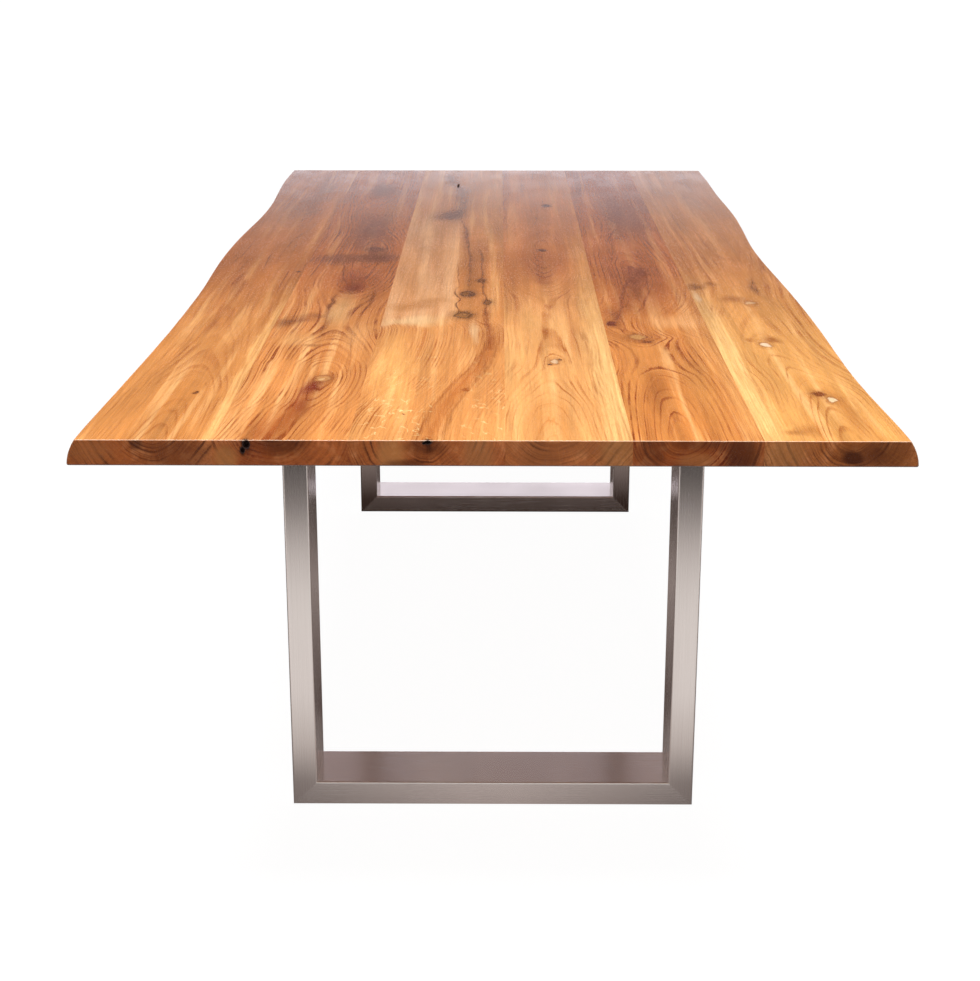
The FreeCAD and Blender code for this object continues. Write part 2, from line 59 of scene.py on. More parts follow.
def paint(code):
    # sRGB hex to linear
    parts = [int(code[i:i + 2], 16) / 255 for i in (1, 3, 5)]
    linear = [c / 12.92 if c <= 0.04045 else ((c + 0.055) / 1.055) ** 2.4 for c in parts]
    return (*linear, 1)


def addNode(tree, kind, inputs=(), **settings):
    # a node, a socket or a plain value may go into each input, by number or by name
    node = tree.nodes.new("ShaderNode" + kind)
    node.location = (220 * (len(tree.nodes) % 12), -260 * (len(tree.nodes) // 12))
    for name, setting in settings.items():
        setattr(node, name, setting)
    sockets = [s for s in node.inputs if s.enabled]
    entries = inputs.items() if isinstance(inputs, dict) else enumerate(inputs)
    for key, entry in entries:
        socket = node.inputs[key] if isinstance(key, str) else sockets[key]
        if isinstance(entry, bpy.types.Node):
            entry = next(o for o in entry.outputs if o.enabled)
        if isinstance(entry, bpy.types.NodeSocket):
            tree.links.new(entry, socket)
        elif entry is not None:
            socket.default_value = entry
    return node


def calc(tree, operation, *values):
    return addNode(tree, "Math", values, operation=operation)


def calcVector(tree, operation, *values):
    return addNode(tree, "VectorMath", values, operation=operation)


def product(tree, first, *others):
    for other in others:
        first = calc(tree, "MULTIPLY", first, other)
    return first


def split(tree, vector):
    return addNode(tree, "SeparateXYZ", [vector]).outputs


def ramp(tree, value, low, high, start=0, end=1, smooth=False):
    # start below low, end above high, and a straight or soft run between
    inputs = {"Value": value, "From Min": low, "From Max": high, "To Min": start, "To Max": end}
    return addNode(tree, "MapRange", inputs, interpolation_type="SMOOTHSTEP" if smooth else "LINEAR")


def blend(tree, share, colour, tint, kind="MIX"):
    colour, tint = [paint(c) if isinstance(c, str) else c for c in (colour, tint)]
    return addNode(tree, "Mix", [share, colour, tint], data_type="RGBA", blend_type=kind)


def noise(tree, vector, size, offset=(0, 0, 0), detail=2, roughness=0.5, distortion=0):
    # size of the pattern in millimetres, one for all or one for each axis
    sizes = size if isinstance(size, (list, tuple)) else (size, size, size)
    scale = [1000 / s for s in sizes]
    spread = addNode(tree, "Mapping", {"Vector": vector, "Location": offset, "Scale": scale})
    return addNode(tree, "TexNoise", {
        "Vector": spread, "Scale": 1, "Detail": detail, "Roughness": roughness, "Distortion": distortion,
    })


def noiseAlong(tree, value, scale, detail=2, roughness=0.5):
    inputs = {"W": value, "Scale": scale, "Detail": detail, "Roughness": roughness}
    return addNode(tree, "TexNoise", inputs, noise_dimensions="1D")


def newMaterial(name):
    material = bpy.data.materials.new(name)
    material.use_nodes = True
    material.node_tree.nodes.clear()
    return material, material.node_tree


def closeMaterial(tree, colour, gloss, height, bump, **others):
    # bump is its strength, and its depth in metres
    relief = addNode(tree, "Bump", {"Height": height, "Strength": bump[0], "Distance": bump[1]})
    inputs = {"Base Color": colour, "Roughness": gloss, "Normal": relief, **others}
    addNode(tree, "OutputMaterial", {"Surface": addNode(tree, "BsdfPrincipled", inputs)})


def dress(names, material):
    for name in names:
        for holder in nodes[name].material_slots:
            holder.material = material


# photograph's viewpoint, in metres from the floor under the table's centre
view = {
    "place": (0.0078, -3.5551, 1.4037),
    "pitchDown": 0.3054,
    "turn": 0.0047,
    "roll": 0.0010,
    "lens": 66.99,
    "clipEnd": 200,
}

bpy.ops.object.select_all(action="DESELECT")
bpy.ops.object.camera_add()
camera = bpy.context.object
camera.name = "camera"
camera.data.lens = view["lens"]
camera.data.clip_end = view["clipEnd"]
aim = Matrix.Rotation(view["turn"], 4, "Z")
aim = aim @ Matrix.Rotation(math.pi / 2 - view["pitchDown"], 4, "X")
aim = aim @ Matrix.Rotation(view["roll"], 4, "Z")
camera.matrix_world = Matrix.Translation(view["place"]) @ aim
scene.camera = camera
print("camera set")


# Studio: world and floor are white to the eye and in the gloss. Cards before and behind the set and on the
# floor show in the gloss alone, and give the steel and the oil the photograph's light and dark. Metres.
studio = {
    "fill": 0.2,
    "floorSize": 90,
    # the floor is a little greyer by the table, and full white from the second distance on
    "floorNear": 0.955,
    "floorRise": (1.4, 3.2),
    "floorGrey": 0.8,
    "floorMatt": 0.15,
    "floorLift": 0.22,
    "dark": 0.05,
    "darkPlace": (0, -6.2, 1.1),
    "darkSize": (16, 2.2),
    # the shade card's tones by metres along Y: dark by the camera, paper white, the table's shade, paper again
    "shadeTones": ((-3.7, "#1e1b1a"), (-3.0, "#2c2827"), (-2.6, "#3a3533"), (-2.35, "#8e8785"),
                   (-2.15, "#d8d4d2"), (-1.75, "#f9f7f6"), (-1.28, "#f8f5f4"), (-1.05, "#d6d0cd"),
                   (-0.9, "#c1b7b4"), (-0.45, "#4c3e3a"), (0.2, "#988b87"), (0.6, "#3a2d28"),
                   (0.85, "#352823"), (1.15, "#6a5d59"), (1.45, "#f4f4f4")),
    "shadeFrom": -6.2,
    "shadeWidth": 6,
    "shadeLift": 0.0005,
    # shade at the near feet: dimming, its run along X, and where along Y it comes and goes
    "feetShade": (0.5, (0.04, 0.34), (-1.06, -0.92), (-0.7, -0.5)),
    "cardY": 3.0,
    "cardSize": (9, 6),
    "cardTop": 1.5,
    "cardFull": 0.95,
    "cardFall": 5.0,
    "cardGlow": 1.75,
    "cardTint": "#f8f4ff",
    # the card's foot is brighter: from height, to height, times
    "cardLow": (0.7, 0.85, 1.4),
    "frontPlace": (0, -6, 1.5),
    "frontSize": (1.3, 1.4),
    "frontGlow": 0.7,
    "keyPlace": (0, -1.4, 3.2),
    "keySize": (2.6, 1.6),
    "keyPower": 125,
}


def addCard(name, place, size, upright=True):
    # a stage card that only the gloss shows
    turn = (math.pi / 2, 0, 0) if upright else (0, 0, 0)
    bpy.ops.mesh.primitive_plane_add(size=1, location=place, rotation=turn)
    card = bpy.context.object
    card.name = name
    card.scale = (*size, 1)
    card.visible_camera = False
    card.visible_diffuse = False
    card.visible_transmission = False
    card.visible_shadow = False
    material, tree = newMaterial(name)
    card.data.materials.append(material)
    return tree


def addGlow(tree, colour, strength):
    glow = addNode(tree, "Emission", {"Color": colour, "Strength": strength})
    addNode(tree, "OutputMaterial", {"Surface": glow})


def seenWhite(tree):
    # one for rays from the camera, off metal or through glass
    rays = addNode(tree, "LightPath").outputs
    seen = calc(tree, "MAXIMUM", rays["Is Camera Ray"], rays["Is Glossy Ray"])
    return calc(tree, "MAXIMUM", seen, rays["Is Transmission Ray"])


def buildWorld(s):
    world = bpy.data.worlds.new("studio")
    scene.world = world
    world.use_nodes = True
    tree = world.node_tree
    tree.nodes.clear()
    strength = addNode(tree, "Mix", [seenWhite(tree), s["fill"], 1], data_type="FLOAT")
    back = addNode(tree, "Background", {"Strength": strength, "Color": white})
    addNode(tree, "OutputWorld", {"Surface": back})


def buildFloor(s):
    bpy.ops.mesh.primitive_plane_add(size=s["floorSize"], location=(0, 0, 0))
    floor = bpy.context.object
    floor.name = "floor"
    material, tree = newMaterial("white studio floor")
    floor.data.materials.append(material)
    matt = addNode(tree, "BsdfDiffuse", {"Color": (s["floorGrey"], s["floorGrey"], s["floorGrey"], 1)})
    lift = addNode(tree, "Emission", {"Color": white, "Strength": s["floorLift"]})
    dull = addNode(tree, "AddShader", [matt, lift])
    far = calcVector(tree, "LENGTH", addNode(tree, "TexCoord").outputs["Object"])
    far = ramp(tree, far, *s["floorRise"], s["floorNear"], 1, smooth=True)
    glow = addNode(tree, "Emission", {"Color": white, "Strength": far})
    thin = addNode(tree, "BsdfDiffuse", {"Color": (s["floorMatt"], s["floorMatt"], s["floorMatt"], 1)})
    glow = addNode(tree, "AddShader", [glow, thin])
    seen = addNode(tree, "MixShader", [seenWhite(tree), dull, glow])
    # open from below, so that the underside can be looked at
    beneath = addNode(tree, "NewGeometry").outputs["Backfacing"]
    seen = addNode(tree, "MixShader", [beneath, seen, addNode(tree, "BsdfTransparent")])
    addNode(tree, "OutputMaterial", {"Surface": seen})


def buildShadeCard(s):
    start, end = s["shadeTones"][0][0], s["shadeTones"][-1][0]
    middle = (s["shadeFrom"] + end) / 2
    reach = end - s["shadeFrom"]
    tree = addCard("shadeCard", (0, middle, s["shadeLift"]), (s["shadeWidth"], reach), upright=False)
    place = addNode(tree, "TexCoord").outputs["Object"]
    place = calcVector(tree, "MULTIPLY", place, (s["shadeWidth"], reach, 1))
    place = split(tree, calcVector(tree, "ADD", place, (0, middle, 0)))
    tones = addNode(tree, "ValToRGB", {"Fac": ramp(tree, place["Y"], start, end)})
    stops = tones.color_ramp.elements
    while len(stops) < len(s["shadeTones"]):
        stops.new(0.5)
    for stop, (y, tint) in zip(stops, s["shadeTones"]):
        stop.position = (y - start) / (end - start)
        stop.color = paint(tint)
    dim, sides, front, back = s["feetShade"]
    shade = ramp(tree, calc(tree, "ABSOLUTE", place["X"]), *sides, 0, dim)
    shade = product(tree, shade, ramp(tree, place["Y"], *front), ramp(tree, place["Y"], *back, 1, 0))
    addGlow(tree, tones, calc(tree, "SUBTRACT", 1, shade))


def buildBackCard(s):
    tall = s["cardSize"][1]
    tree = addCard("backCard", (0, s["cardY"], tall / 2), s["cardSize"])
    place = split(tree, addNode(tree, "TexCoord").outputs["Object"])
    height = ramp(tree, place["Y"], -0.5, 0.5, 0, tall)
    fade = calc(tree, "POWER", ramp(tree, height, s["cardFull"], s["cardTop"], 1, 0), s["cardFall"])
    fade = product(tree, fade, s["cardGlow"], ramp(tree, height, *s["cardLow"], 1))
    addGlow(tree, paint(s["cardTint"]), calc(tree, "MAXIMUM", fade, s["dark"]))


def hangLamp(s):
    bpy.ops.object.light_add(type="AREA", location=s["keyPlace"])
    key = bpy.context.object
    key.name = "keyLamp"
    key.data.shape = "RECTANGLE"
    key.data.size, key.data.size_y = s["keySize"]
    key.data.energy = s["keyPower"]
    key.visible_camera = False


buildWorld(studio)
buildFloor(studio)
buildShadeCard(studio)
buildBackCard(studio)
addGlow(addCard("darkCard", studio["darkPlace"], studio["darkSize"]), white, studio["dark"])
addGlow(addCard("frontCard", studio["frontPlace"], studio["frontSize"]), white, studio["frontGlow"])
hangLamp(studio)
print("studio built")

# Stainless box tube, satin belt-brushed along its length: fine parallel scratches that draw the reflections out
# across the grain, in slow patches of more and less. Sizes in millimetres.
brushed = {
    "colour": "#ded5d0",
    "dark": "#d3cac5",
    "lineWidth": 0.35,
    "lineLength": 320,
    "patch": 140,
    "darkLines": (0.35, 0.7),
    "roughness": (0.3, 0.7, 0.18, 0.24),
    "patchy": 0.08,
    "anisotropy": 0.88,
    "quarterTurn": 0.25,
    "bump": (0.2, 0.00004),
}


def brushedSteel(name, axis, look):
    material, tree = newMaterial(name)
    place = addNode(tree, "TexCoord").outputs["Object"]
    sizes = [look["lineLength"] if k == axis else look["lineWidth"] for k in range(3)]
    lines = noise(tree, place, sizes, detail=3, roughness=0.65)
    patch = noise(tree, place, look["patch"])
    colour = blend(tree, ramp(tree, lines, *look["darkLines"]), look["colour"], look["dark"])
    gloss = calc(tree, "MULTIPLY_ADD", patch, look["patchy"], ramp(tree, lines, *look["roughness"]))
    grain = addNode(tree, "CombineXYZ", [1.0 if k == axis else 0.0 for k in range(3)])
    closeMaterial(tree, colour, gloss, lines, look["bump"], **{
        "Metallic": 1, "Anisotropic": look["anisotropy"], "Anisotropic Rotation": look["quarterTurn"],
        "Tangent": grain,
    })
    return material


dress(["front_left_leg", "front_right_leg", "rear_left_leg", "rear_right_leg"],
      brushedSteel("stainless steel brushed upright", 2, brushed))
dress(["front_floor_rail", "rear_floor_rail"], brushedSteel("stainless steel brushed lengthways", 0, brushed))
print("steel frames dressed")

# Wild oak, planed and oiled. Flat-sawn boards show nested arches where the saw cut runs across the growth
# rings, red heart and pale sapwood, tight knots, open pores along the grain; the ends drink oil and go dark.
# Each figure is drawn in the solid, as rings round a pith line, so faces, edges and ends agree.
# Places are X from the table's middle and Y from the near end; pithLine and pithHeight run along Y. Sizes are
# across, along and down. Millimetres. Two numbers of a ramp are where it runs, four also what it runs between.
oak = {
    "driftSize": (80, 430, 80),
    "drift": (16, 64, 16),
    "lumpSize": (55, 110, 55),
    "lump": (24, 96, 24),
    "warpSize": 15,
    "warp": (15, 24, 15),
    "ragged": (0.35, 0.2, 0.35),
    "patchy": (0.38, 0.6, 0.2, 1.3),
    "bandWidth": 27,
    "cloudSize": (48, 330, 48),
    "streakSize": (3.2, 420, 3.2),
    "stripeSize": (19, 700, 19),
    "fibreSize": (1.0, 46, 1.0),
    "poreSize": (0.8, 9, 0.8),
    "poreShow": (0.58, 0.7),
    "poreShare": 0.5,
    "poreDepth": -0.8,
    # growth rings: how far bands and streaks shift them, their profile, their strength, and the far end's calm
    "ringBand": 3.0,
    "ringStreak": 0.35,
    "ringRise": (0.55, 0.93),
    "ringFall": (0.93, 1, 1, 0),
    "ringClouds": (0.35, 0.62),
    "ringShare": (0.3, 1.7),
    "quiet": (1000, 1900, 0.4),
    "fineRings": 0.7,
    "fineShow": (0.54, 0.72),
    "fineShare": 0.8,
    "tone": (0.3, 0.7, 0, 0.6),
    "paleStripe": (0.47, 0.3, 0, 0.4),
    # sapwood and the pale run: edges in widths, and where they come and go
    "sapEdge": (0.55, 1.4),
    "sapFray": 0.5,
    "sapUneven": (0.4, 0.66, 1, 0.45),
    "sapStart": (-120, 60),
    "sapEnd": (-150, 150),
    "paleStart": (-20, 30),
    "paleEnd": (-120, 120),
    "paleSide": (-12, 8),
    "paleStripes": (0.35, 0.65),
    "paleLeast": 0.3,
    "stainDepth": 60,
    "stainStripe": 0.4,
    "stainStreak": 0.7,
    "stainEdge": (0.65, 1.85),
    "strokeFray": 2,
    "strokeEdge": (0.8, 2.3),
    "strokeStart": (-20, 40),
    "strokeEnd": (-60, 20),
    "fleckSize": (15, 26, 15),
    "fleckLine": (0.008, 0.028, 0.8, 0),
    "fleckGap": (0.5, 0.6),
    "fleckSide": 20,
    "fleckSkin": (2, 0.5),
    "fleck": "#ffdc9a",
    # knots: how deep they go, then halo, heart and bark line in core sizes
    "swellDepth": 50,
    "knotDepth": 14,
    "knotFray": 0.4,
    "halo": (1.1, 2.9),
    "haloShare": 0.6,
    "heart": (0.95, 1.25, 0.95, 0),
    "rimRise": (0.9, 1.15),
    "rimFall": (1.2, 1.6, 1, 0),
    "hollow": (1.0, 1.15, 1, 0),
    "fibreShade": (0.25, 0.75, 0.88, 1.1),
    "stripeShade": (0.3, 0.7, 1.1, 0.87),
    "cloudShade": (0.3, 0.7, 1.1, 0.88),
    "streakShade": (0.3, 0.7, 1.1, 0.88),
    # painted shade: from the first distance back the top goes darker and redder, fully from the second
    "farShade": (450, 1300),
    "pale": "#ffcf8e",
    # painted highlight on the upper end arrises
    "arrisHighlight": "#ffd6ae",
    # dark for the insides of open knots and for the painted shade on the lower end arrises
    "darkHollowAndArrisShade": "#2e140c",
    "pore": "#9c5c28",
    "edge": "#7a4a26",
    "endDepth": (1.4, 0.2),
    "endTint": "#d0aca2",
    "endDark": "#5a2c16",
    "endRings": 1.1,
    "endWobble": 0.5,
    "endLines": (0.45, 0.7),
    "faintSize": 45,
    "endFaint": (0.38, 0.6, 0.08, 0.9),
    "rayStep": 0.03,
    "endRays": (0.58, 0.75, 0, 0.25),
    "endBlot": (0.5, 1.4),
    "endless": 1e9,
    # by which way the wood faces: natural edges, ends, their upper arrises (painted highlight) and lower
    # arrises (painted shade), the underside
    "edgeFacing": (0.3, 0.85, 0, 0.6),
    "endFacing": (0.2, 0.5),
    "arrisHighlightFacing": (0.2, 0.5, 0, 0.35),
    "arrisShadeFacing": (-0.1, -0.5, 0, 0.75),
    "underFacing": (-0.4, -0.9),
    "underHue": 0.66,
    "underTone": 0.72,
    "roughness": (0.08, 0.23),
    # roughness added by pores, patches, open knots, natural edges and the underside
    "duller": (0.12, 0.05, 0.7, 0.85, 0.2),
    "bump": (0.5, 0.00012),
    "ior": 1.5,
}
# Each board also has a darker, redder tint for the painted shade farther back along the top
boards = {
    "left_live_edge_plank": {
        "seed": 1.3, "ring": 6, "light": "#db9350", "deep": "#c27836", "line": "#a2561e",
        "rings": 0.32, "farShade": "#ecd6c5",
        "pithLine": ((0, -438), (500, -440), (1000, -462), (1600, -450), (2600, -440)),
        "pithHeight": ((0, 26), (250, 46), (520, 68), (900, 80), (1400, 82), (1900, 68), (2600, 74)),
        "sap": ((-361, 18, 0, 980, "#f2b873", 0.8),),
        "knots": (((-420, 245), (8, 12), 3, (3, 6), "#6a3818", "#7a4420", 0.6),
                  ((-372, 1160), (8, 14), 3, (3, 5), "#6a3818", "#7a4420", 0.6)),
        "stainsAndSheen": (((-425, 2080), (30, 420), "#86502e", 0.5), ((-476, 1860), (46, 280), "#d29a68", 0.4),
                   ((-500, 1250), (40, 260), "#b06c34", 0.4), ((-420, 480), (24, 120), "#b87032", 0.35)),
        "ends": (((-458, 5), (9, 8), "#4a2210", 0.7), ((-405, 20), (40, 20), "#5e3018", 0.5),
                 ((-520, 14), (30, 16), "#a8683a", 0.4)),
    },
    "left_plank": {
        "seed": 2.7, "ring": 6.5, "light": "#e39753", "deep": "#be7032", "line": "#964a16",
        "rings": 0.62, "farShade": "#e3cbbe",
        "pithLine": ((0, -285), (150, -268), (335, -248), (640, -258), (960, -256), (1400, -242),
                     (2000, -275),
                     (2600, -270)),
        "pithHeight": ((0, 26), (150, 22), (323, 14), (450, 36), (560, 54), (623, 64), (760, 70), (880, 64),
                       (960, 52), (1060, 30), (1180, 20), (1350, 15), (1600, 42), (1900, 55), (2250, 30),
                       (2600, 45)),
        "sap": (),
        "strokes": ((((955, -258), (1050, -272), (1150, -285), (1290, -293)), 2.6, "#7a3616", 0.6),
                    (((960, -255), (1050, -245), (1150, -233), (1290, -226)), 2.6, "#7a3616", 0.6),
                    (((990, -257), (1080, -264), (1180, -272), (1290, -276)), 2.0, "#7a3616", 0.5),
                    (((330, -214), (430, -217), (520, -222), (620, -227)), 1.6, "#9a5a2a", 0.5)),
        "knots": (((-317, 0), (14, 20), 5, (4, 6), "#4a2410", "#6a3416", 0.6),
                  ((-248, 326), (28, 48), 10, (12, 19), "#c98f57", "#8a4a22", 0.55),
                  ((-250, 322), (6, 10), 2, (5, 8), "#dcae78", "#a8662f", 0.5),
                  ((-240, 1400), (30, 46), 8, (12, 18), "#9a5a2c", "#5a2f1a", 0.7)),
        "open": ((-316.5, 0, 6, 4.6, 7.2, 5.6), (-321.5, 0, 13.5, 3.0, 5.6, 4.2)),
        "stainsAndSheen": (((-259, 276), (20, 56), "#7a2a14", 0.95), ((-266, 180), (19, 80), "#8c3a16", 0.8),
                   ((-280, 100), (24, 100), "#a04c18", 0.7), ((-304, 36), (28, 70), "#a2501f", 0.6),
                   ((-332, 722), (42, 32), "#824620", 0.75), ((-298, 758), (34, 22), "#864a22", 0.6),
                   ((-346, 690), (24, 36), "#7a431f", 0.6), ((-283, 555), (18, 12), "#8c5024", 0.7),
                   ((-256, 985), (24, 70), "#7e2f14", 0.85), ((-258, 1080), (42, 150), "#94461f", 0.65),
                   ((-214, 1010), (20, 200), "#a05a2c", 0.5), ((-262, 800), (24, 150), "#f2bc7c", 0.8),
                   ((-281, 850), (5, 100), "#7e431c", 0.8), ((-218, 905), (6, 80), "#7e431c", 0.7),
                   ((-296, 1290), (84, 74), "#744028", 0.6), ((-228, 1310), (50, 66), "#6e381e", 0.65),
                   ((-310, 590), (40, 60), "#f0b472", 0.45), ((-216, 620), (24, 150), "#efb272", 0.45),
                   ((-275, 2210), (38, 140), "#653c2c", 0.6), ((-230, 1900), (30, 260), "#d6a06c", 0.45),
                   ((-262, 1640), (46, 330), "#7e4a36", 0.6)),
        "ends": (((-270, 0), (34, 20), "#4e2411", 0.65), ((-345, 24), (16, 16), "#b57c46", 0.5),
                 ((-317, 6), (6, 8), "#1a0804", 0.95), ((-322, 15), (4, 6), "#240e06", 0.9)),
    },
    "left_centre_plank": {
        "seed": 3.9, "ring": 5.5, "light": "#e69f5b", "deep": "#cc8040", "line": "#a8581c",
        "rings": 0.5, "farShade": "#f6eade",
        "pithLine": ((0, -86), (100, -80), (200, -64), (323, -36), (500, -12), (650, -6), (770, -28),
                     (880, -18),
                     (1075, -20), (1300, -8), (1500, -52), (1750, -75), (1860, -95), (2100, -85),
                     (2310, -93),
                     (2600, -120)),
        "pithHeight": ((0, 12), (600, 9), (1200, 10), (1860, 8), (2600, 12)),
        "sap": (),
        "strokes": ((((0, -82), (100, -74), (200, -62), (323, -38), (400, -22), (500, -8), (640, 0)),
                     19, "#b25a18", 0.55),
                    (((0, -97), (100, -90), (200, -77), (323, -51), (450, -24), (580, -10)),
                     5, "#94470f", 0.5),
                    (((0, -66), (100, -58), (200, -46), (323, -24), (450, -2), (560, 6)),
                     4, "#8a4a1c", 0.4),
                    (((500, -8), (600, -6), (700, -9), (780, -13), (850, -12)), 9, "#8f4716", 0.75),
                    (((760, -17), (880, -13), (960, -20), (1075, -22), (1200, -23), (1420, -34)),
                     3.6, "#70380f", 0.6),
                    (((760, -66), (800, -60), (860, -66), (900, -60), (960, -70), (1020, -64)),
                     2.4, "#5e2c0e", 0.8),
                    (((1020, -64), (1100, -67), (1250, -72)), 2.4, "#80481e", 0.6),
                    (((1000, -48), (1180, -46), (1400, -52), (1600, -60), (1800, -78)), 4, "#80481e", 0.55),
                    (((1830, -92), (1930, -79), (2200, -83), (2320, -100), (2520, -123)),
                     19, "#5e3a32", 0.6)),
        "knots": (((-23, 1075), (14, 30), 6, (6, 15), "#8a5428", "#4a240f", 0.75),
                  ((-47, 950), (24, 50), 10, (11, 20), "#94602e", "#4e2810", 0.75),
                  ((-43, 944), (8, 20), 3, (4, 8), "#5a2e12", "#6a3818", 0.3),
                  ((-11, 878), (14, 34), 7, (6, 17), "#8e5a2c", "#4a240f", 0.75),
                  ((-52, 770), (24, 46), 10, (13, 22), "#a06a36", "#56300f", 0.75),
                  ((-49, 776), (8, 14), 3, (4, 8), "#b07a44", "#6a3818", 0.3),
                  ((-39, 262), (10, 14), 3, (5, 9), "#a2561e", "#8a4618", 0.2),
                  ((-121, 128), (6, 8), 2, (2, 3), "#5e2c12", "#8a4a1c", 0.4),
                  ((-83, 0), (14, 18), 5, (4, 5), "#4a2410", "#6a3416", 0.6)),
        "open": ((-83, 0, 3, 4.8, 6.2, 2.6), (-87.5, 0, 4, 2.6, 4.2, 1.8), (-93, 2310, 0, 2.4, 33, 4)),
        "pale": (-190, -68, 676, 1790, 0.6, "#efbc8e", 0.72),
        "stainsAndSheen": (((-132, 722), (62, 44), "#f7cf98", 0.6), ((-140, 845), (50, 44), "#b5763a", 0.6),
                   ((-108, 885), (36, 32), "#b5763a", 0.45),
                   ((-34, 1180), (30, 340), "#a8662f", 0.55), ((-100, 1838), (44, 100), "#58302a", 0.75),
                   ((-60, 1570), (12, 200), "#7a452c", 0.55), ((-33, 640), (9, 100), "#f4c08a", 0.85),
                   ((-40, 200), (40, 150), "#cf8a4a", 0.4), ((-44, 1000), (14, 200), "#b8763c", 0.5),
                   ((-150, 400), (36, 240), "#f0b266", 0.5)),
        "flecks": ((-186, -72, 700), (-46, 36, 560)),
        "ends": (((-86, 8), (26, 13), "#55270f", 0.55), ((-83, 2), (7, 4), "#2a0e06", 0.9),
                 ((-132, 18), (18, 22), "#bd8048", 0.55), ((-112, 31), (28, 6), "#4a2010", 0.6),
                 ((-18, 16), (20, 40), "#aa7040", 0.5)),
    },
    "right_centre_plank": {
        "seed": 4.4, "ring": 7, "light": "#eeac68", "deep": "#d48a46", "line": "#b0601e",
        "rings": 0.44, "farShade": "#e2c3ae",
        "pithLine": ((0, 78), (300, 80), (435, 90), (940, 94), (1400, 95), (1985, 115), (2600, 105)),
        "pithHeight": ((0, 34), (150, 46), (320, 66), (600, 78), (880, 76), (960, 66), (1080, 46),
                       (1250, 28),
                       (1395, 16), (1600, 40), (1900, 56), (1985, 40), (2150, 60), (2600, 60)),
        "sap": ((181, 40, 0, 1500, "#f7c57f", 0.85), (17, 14, 350, 1000, "#f2b873", 0.5)),
        "knots": (((93, 437), (16, 42), 8, (7, 13), "#dcb68e", "#8a5228", 0.5),
                  ((85, 416), (8, 10), 3, (4, 5), "#5a3018", "#7a4826", 0.6),
                  ((102, 448), (5, 9), 2, (2, 5), "#6a3c20", "#7a4826", 0.4),
                  ((95, 1395), (14, 30), 5, (6, 10), "#7a4524", "#4a2412", 0.6),
                  ((118, 1985), (14, 30), 5, (7, 14), "#6d4630", "#4a2c1c", 0.7)),
        "stainsAndSheen": (((92, 1180), (40, 140), "#a05a26", 0.48), ((92, 1075), (20, 80), "#984c1e", 0.4),
                   ((88, 1310), (52, 120), "#a4602e", 0.4), ((30, 1060), (18, 200), "#b87838", 0.45),
                   ((78, 120), (30, 150), "#c47c38", 0.45), ((60, 760), (20, 200), "#f2b872", 0.5),
                   ((130, 620), (8, 160), "#b8642a", 0.35)),
        "ends": (((90, 10), (70, 12), "#8a5430", 0.3), ((160, 18), (22, 30), "#a8703e", 0.5),
                 ((60, 26), (30, 10), "#7a4624", 0.4)),
    },
    "right_plank": {
        "seed": 5.2, "ring": 8, "light": "#e0934c", "deep": "#b8682a", "line": "#944410",
        "rings": 0.66, "farShade": "#e2c7b7",
        "pithLine": ((0, 248), (340, 250), (600, 232), (700, 206), (800, 226), (1130, 262), (1430, 255),
                     (2000, 265), (2600, 265)),
        "pithHeight": ((0, 14), (150, 26), (340, 46), (500, 60), (600, 38), (700, 28), (850, 30),
                       (1000, 22),
                       (1130, 12), (1300, 26), (1430, 36), (1700, 50), (2000, 36), (2300, 46), (2600, 50)),
        "sap": ((350, 26, 0, 1150, "#eaa863", 0.6),),
        "strokes": ((((720, 200), (789, 214), (967, 230), (1080, 250), (1140, 266)), 5, "#7a3414", 0.6),
                    (((800, 248), (880, 264), (1000, 278), (1140, 284)), 3, "#84401c", 0.55)),
        "knots": (((194, 705), (16, 36), 8, (7, 19), "#702f16", "#7a3a1c", 0.6),
                  ((230, 605), (26, 42), 10, (13, 20), "#c48c50", "#7a421e", 0.45),
                  ((240, 570), (12, 18), 4, (8, 10), "#82421a", "#7a3a16", 0.5)),
        "stainsAndSheen": (((278, 1150), (14, 62), "#783012", 0.75), ((262, 1060), (20, 90), "#8a421a", 0.55),
                   ((246, 950), (22, 90), "#904a1e", 0.55), ((226, 850), (20, 80), "#904a1e", 0.55),
                   ((262, 1010), (76, 260), "#a05a2c", 0.55), ((306, 722), (54, 60), "#f0b274", 0.65),
                   ((204, 770), (16, 90), "#7c3a1a", 0.7), ((255, 1430), (40, 70), "#eaa468", 0.5),
                   ((290, 1850), (60, 360), "#7c4a3c", 0.55), ((262, 480), (10, 90), "#f0b272", 0.7),
                   ((232, 250), (16, 220), "#9a5420", 0.5), ((300, 260), (34, 220), "#d08c48", 0.5)),
        "ends": (((263, 0), (40, 15), "#4e2411", 0.55), ((263, 27), (24, 9), "#b0713e", 0.45),
                 ((322, 18), (22, 30), "#4a2212", 0.75), ((205, 14), (18, 26), "#5a2c16", 0.5)),
    },
    "right_live_edge_plank": {
        "seed": 6.8, "ring": 7, "light": "#edac61", "deep": "#ce843a", "line": "#ae601e",
        "rings": 0.42, "farShade": "#e8d2cc",
        "pithLine": ((0, 464), (225, 465), (555, 432), (875, 445), (1300, 468), (2000, 460), (2600, 470)),
        "pithHeight": ((0, 16), (200, 34), (400, 58), (700, 74), (1000, 84), (1600, 70), (2600, 80)),
        "sap": ((350, 38, 0, 990, "#f7c57f", 0.85), (350, 14, 900, 2000, "#f2b873", 0.5)),
        "strokes": ((((1000, 464), (1060, 474), (1130, 479)), 3, "#8a5226", 0.55),),
        "knots": (((446, 876), (16, 30), 6, (9, 12), "#e4ba88", "#a86e38", 0.5),
                  ((426, 552), (14, 36), 7, (8, 16), "#efcfae", "#8a5428", 0.5),
                  ((473, 211), (14, 24), 6, (8, 15), "#efcfa4", "#8a4c22", 0.5),
